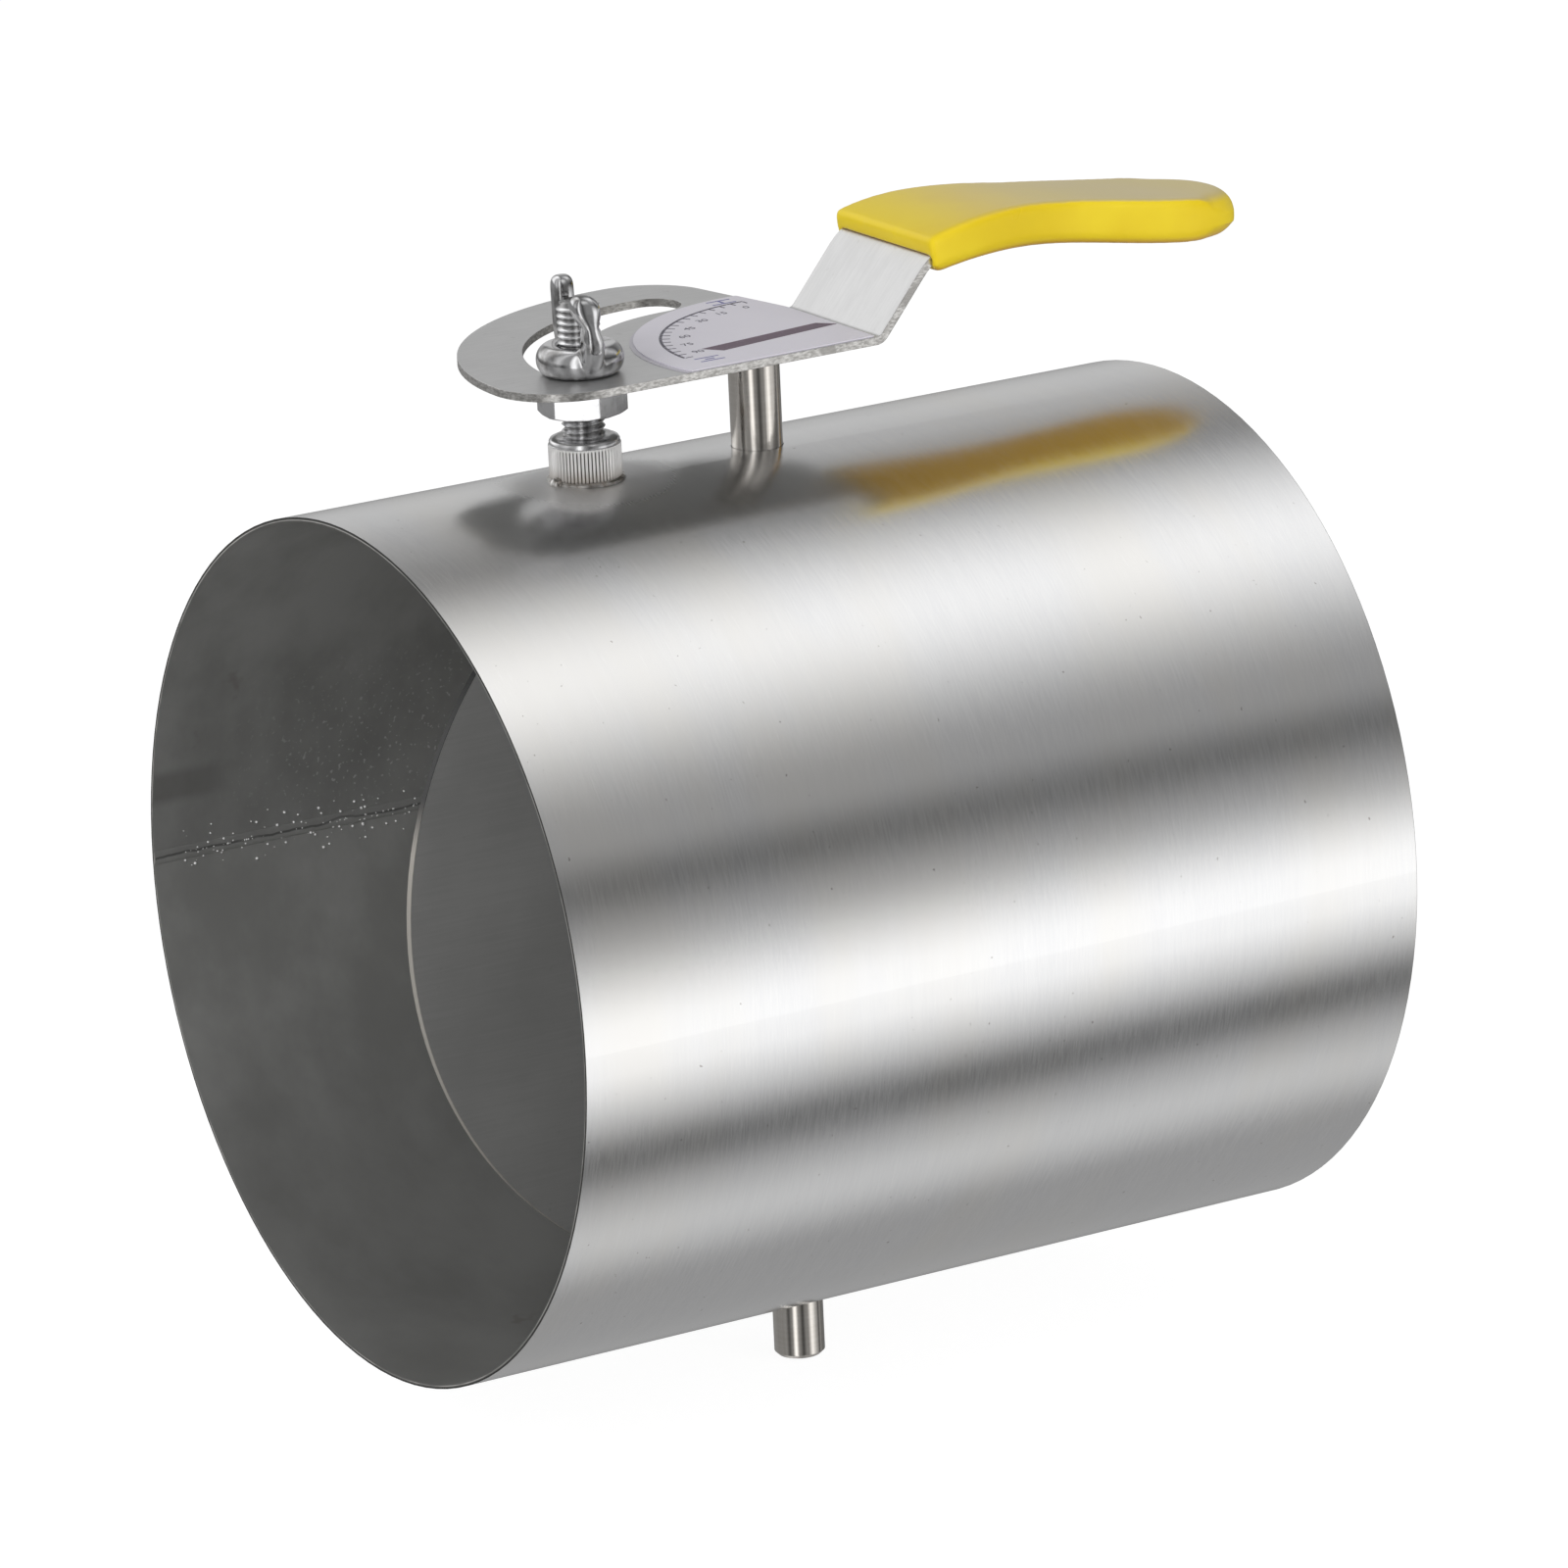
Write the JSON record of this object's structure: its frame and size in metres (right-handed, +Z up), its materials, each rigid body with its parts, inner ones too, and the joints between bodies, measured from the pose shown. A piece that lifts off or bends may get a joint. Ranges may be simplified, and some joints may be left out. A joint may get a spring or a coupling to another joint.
{
  "type": "manual duct damper",
  "caption": "Round steel duct section with a hand-set butterfly blade, a bent locking lever with yellow grip, slotted quadrant and wing nut, for trimming air flow",
  "frame": {"origin": "crossing of the pipe axis and the spindle axis, at the middle of the pipe", "axes": "+Z up the spindle towards the lever, +Y along the pipe the way the handle points while the blade is open, +X across the pipe"},
  "size_m": [0.16, 0.1917, 0.2136],
  "materials": {
    "pipe_steel": "satin",
    "spindle_steel": "satin",
    "blade_steel": "satin",
    "screw_steel": "satin",
    "lever_steel": "satin",
    "grip_plastic": "satin",
    "label_film": "satin",
    "clear_film": "satin",
    "stud_steel": "polished",
    "weld_metal": "matte",
    "nut_plating": "polished",
    "wing_plating": "polished"
  },
  "bodies": {
    "housing": {"duct_pipe": "pipe_steel", "lock_stud": "stud_steel", "stud_weld": "weld_metal", "lock_nut": "nut_plating"},
    "vane": {"spindle": "spindle_steel", "damper_disc": "blade_steel", "disc_screw_upper": "screw_steel", "disc_screw_lower": "screw_steel", "lever": "lever_steel", "grip": "grip_plastic", "dial_label": "label_film", "label_backing": "clear_film"},
    "wing_nut": {"wing_nut": "wing_plating"}
  },
  "joints": [
    {"name": "damper_turn", "type": "hinge", "parent": "housing", "child": "vane", "pos_m": [0, 0, 0.08], "axis": [0, 0, 1], "range_deg": [0, 90]},
    {"name": "wing_nut_turn", "type": "hinge", "parent": "housing", "child": "wing_nut", "pos_m": [0, -0.0362, 0.0995], "axis": [0, 0, 1], "continuous": true}
  ]
}
